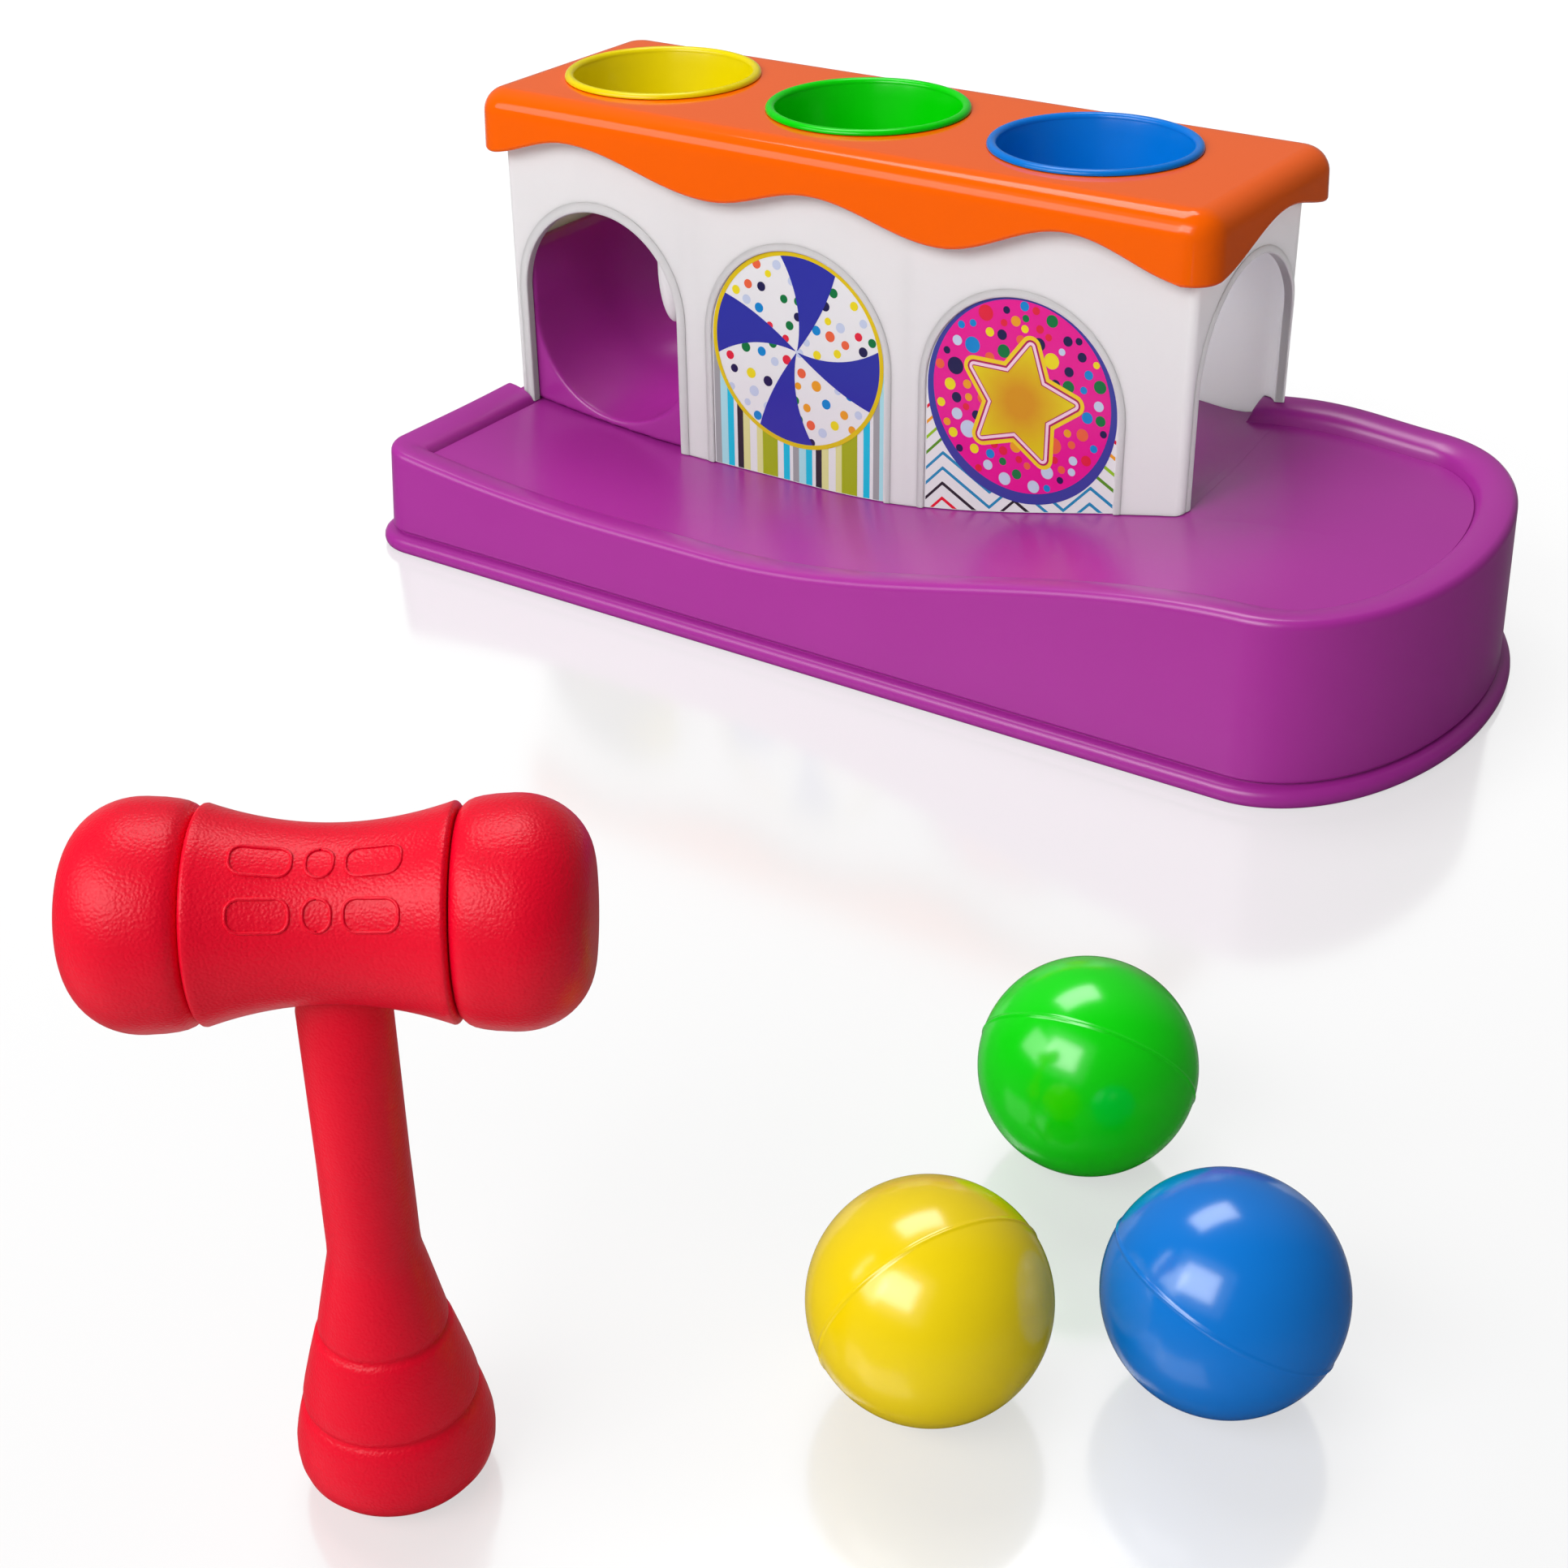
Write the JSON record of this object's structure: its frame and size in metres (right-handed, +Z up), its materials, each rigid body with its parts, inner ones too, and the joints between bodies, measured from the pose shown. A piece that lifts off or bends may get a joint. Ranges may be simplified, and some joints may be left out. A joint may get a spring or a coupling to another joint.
{
  "type": "ball pounding bench",
  "caption": "Toy pounding bench: curved tray, open-arched house with ball cups in its roof, loose balls and a hammer.",
  "frame": {"origin": "on the table under the middle of the whole set's box", "axes": "+Z up, +X along the house towards the tray's round end, +Y from the front of the tray to the back of the house"},
  "size_m": [0.41, 0.4724, 0.1365],
  "materials": {
    "purple": "semi-gloss purple moulding",
    "orange": "gloss orange moulding",
    "white": "semi-gloss white moulding",
    "yellow": "gloss yellow moulding",
    "green": "gloss green moulding",
    "blue": "gloss blue moulding",
    "red": "fine leather-grained red moulding",
    "print": "printed plastic film",
    "steel": "zinc-plated screw"
  },
  "bodies": {
    "bench": {"tray": "purple", "house": "white", "roof": "orange", "ball_scoop": "purple", "ball_ramp": "purple", "label_middle": "print", "label_right": "print", "cup_yellow": "yellow", "cup_green": "green", "cup_blue": "blue", "screw_house_1": "steel", "screw_house_2": "steel", "screw_house_3": "steel", "screw_house_4": "steel", "screw_scoop_1": "steel", "screw_ramp_1": "steel", "screw_roof_1": "steel", "screw_roof_2": "steel", "screw_roof_3": "steel", "screw_roof_4": "steel"},
    "hammer": {"hammer_handle": "red", "hammer_barrel": "red", "hammer_cap_right": "red", "hammer_cap_left": "red"},
    "ball_y": {"ball_yellow": "yellow"},
    "ball_g": {"ball_green": "green"},
    "ball_b": {"ball_blue": "blue"}
  },
  "joints": [
    {"name": "hammer_lift", "type": "slide", "parent": "bench", "child": "hammer", "axis": [0, 0, 1], "range_m": [0, 0.15]},
    {"name": "ball_yellow_lift", "type": "slide", "parent": "bench", "child": "ball_y", "axis": [0, 0, 1], "range_m": [0, 0.15]},
    {"name": "ball_green_lift", "type": "slide", "parent": "bench", "child": "ball_g", "axis": [0, 0, 1], "range_m": [0, 0.15]},
    {"name": "ball_blue_lift", "type": "slide", "parent": "bench", "child": "ball_b", "axis": [0, 0, 1], "range_m": [0, 0.15]}
  ]
}
